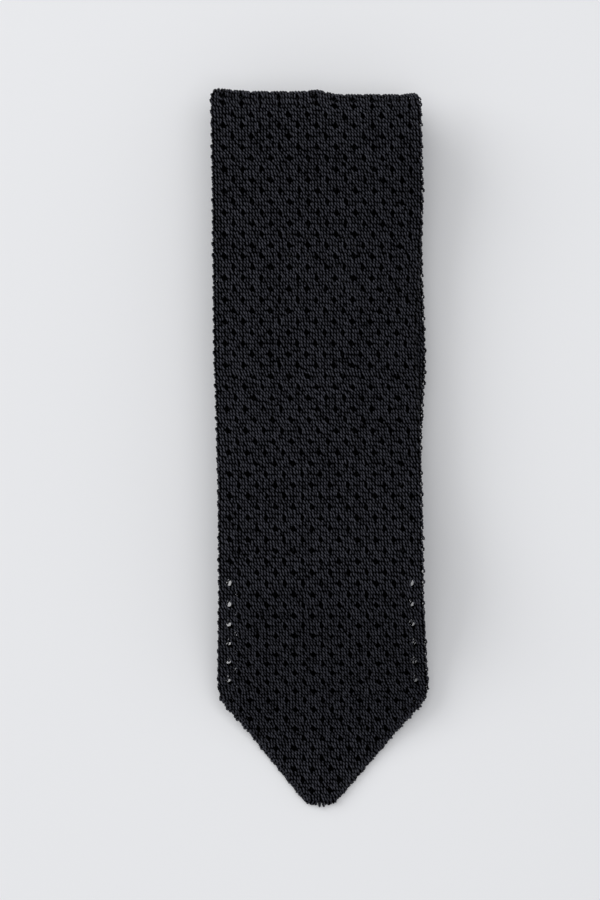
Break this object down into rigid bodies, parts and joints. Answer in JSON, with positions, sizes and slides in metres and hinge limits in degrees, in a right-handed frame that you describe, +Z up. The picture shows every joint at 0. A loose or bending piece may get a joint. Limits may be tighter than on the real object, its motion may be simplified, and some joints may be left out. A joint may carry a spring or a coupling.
{
  "type": "knitted necktie",
  "caption": "Pointed necktie of open knitted tube, folded in a concertina with the front blade's end draped from the stack.",
  "frame": {"origin": "on the table, under the middle of the folded tie's box", "axes": "+X across the tie, +Y along it from the blade's point towards the top crease, +Z up"},
  "size_m": [0.0668, 0.2209, 0.0251],
  "materials": {
    "black_knit": "open knitted silk yarn with a soft sheen",
    "seam_thread": "twisted silk thread",
    "stay_tape": "plain woven cotton tape, matte",
    "label_satin": "satin weave, blank"
  },
  "bodies": {
    "tail_end": {"tail_end_back_left": "black_knit", "tail_end_back_right": "black_knit", "tail_end_back_seam": "seam_thread", "tail_end_face": "black_knit", "tail_end_tip_seam_left": "seam_thread", "tail_end_tip_seam_right": "seam_thread"},
    "tail_upper": {"tail_upper_back_left": "black_knit", "tail_upper_back_right": "black_knit", "tail_upper_back_seam": "seam_thread", "tail_upper_face": "black_knit"},
    "neck_back": {"neck_back_back_left": "black_knit", "neck_back_back_right": "black_knit", "neck_back_back_seam": "seam_thread", "neck_back_face": "black_knit", "neck_back_stay_tape": "stay_tape"},
    "neck_middle": {"neck_middle_back_left": "black_knit", "neck_middle_back_right": "black_knit", "neck_middle_back_seam": "seam_thread", "neck_middle_face": "black_knit", "neck_middle_stay_tape": "stay_tape"},
    "neck_front": {"neck_front_back_left": "black_knit", "neck_front_back_right": "black_knit", "neck_front_back_seam": "seam_thread", "neck_front_face": "black_knit", "neck_front_stay_tape": "stay_tape"},
    "blade_taper": {"blade_taper_back_left": "black_knit", "blade_taper_back_right": "black_knit", "blade_taper_back_seam": "seam_thread", "blade_taper_face": "black_knit"},
    "blade_third": {"blade_third_back_left": "black_knit", "blade_third_back_right": "black_knit", "blade_third_back_seam": "seam_thread", "blade_third_face": "black_knit"},
    "blade_second": {"blade_second_back_left": "black_knit", "blade_second_back_right": "black_knit", "blade_second_back_seam": "seam_thread", "blade_second_face": "black_knit"},
    "blade_front": {"blade_front_back_left": "black_knit", "blade_front_back_right": "black_knit", "blade_front_back_seam": "seam_thread", "blade_front_face": "black_knit", "care_label": "label_satin", "keeper_loop": "black_knit", "keeper_tack_left": "seam_thread", "keeper_tack_right": "seam_thread"},
    "blade_end": {"blade_bar_tack": "seam_thread", "blade_end_back_left": "black_knit", "blade_end_back_right": "black_knit", "blade_end_back_seam": "seam_thread", "blade_end_face": "black_knit", "blade_end_tip_seam_left": "seam_thread", "blade_end_tip_seam_right": "seam_thread"}
  },
  "joints": [
    {"name": "tail_crease", "type": "hinge", "parent": "tail_end", "child": "tail_upper", "pos_m": [0, -0.0368, 0.0025], "axis": [1, 0, 0], "range_deg": [0, 40]},
    {"name": "tail_top_crease", "type": "hinge", "parent": "tail_upper", "child": "neck_back", "pos_m": [0, 0.1092, 0.00525], "axis": [-1, 0, 0], "range_deg": [0, 40]},
    {"name": "neck_low_crease", "type": "hinge", "parent": "neck_back", "child": "neck_middle", "pos_m": [0, -0.0372, 0.008], "axis": [1, 0, 0], "range_deg": [0, 40]},
    {"name": "neck_top_crease", "type": "hinge", "parent": "neck_middle", "child": "neck_front", "pos_m": [0, 0.1095, 0.01075], "axis": [-1, 0, 0], "range_deg": [0, 40]},
    {"name": "taper_low_crease", "type": "hinge", "parent": "neck_front", "child": "blade_taper", "pos_m": [0, -0.0375, 0.0135], "axis": [1, 0, 0], "range_deg": [0, 40]},
    {"name": "taper_top_crease", "type": "hinge", "parent": "blade_taper", "child": "blade_third", "pos_m": [0, 0.1097, 0.01625], "axis": [-1, 0, 0], "range_deg": [0, 40]},
    {"name": "second_low_crease", "type": "hinge", "parent": "blade_third", "child": "blade_second", "pos_m": [0, -0.0377, 0.019], "axis": [1, 0, 0], "range_deg": [0, 40]},
    {"name": "front_top_crease", "type": "hinge", "parent": "blade_second", "child": "blade_front", "pos_m": [0, 0.1105, 0.0222], "axis": [-1, 0, 0], "range_deg": [0, 170]},
    {"name": "blade_lift", "type": "hinge", "parent": "blade_front", "child": "blade_end", "pos_m": [0, -0.0377, 0.02515], "axis": [-1, 0, 0], "range_deg": [0, 60]}
  ],
  "couplings": [
    {"joint": "tail_top_crease", "follows": "tail_crease", "ratio": 1},
    {"joint": "neck_low_crease", "follows": "tail_crease", "ratio": 1},
    {"joint": "neck_top_crease", "follows": "tail_crease", "ratio": 1},
    {"joint": "taper_low_crease", "follows": "tail_crease", "ratio": 1},
    {"joint": "taper_top_crease", "follows": "tail_crease", "ratio": 1},
    {"joint": "second_low_crease", "follows": "tail_crease", "ratio": 1}
  ]
}
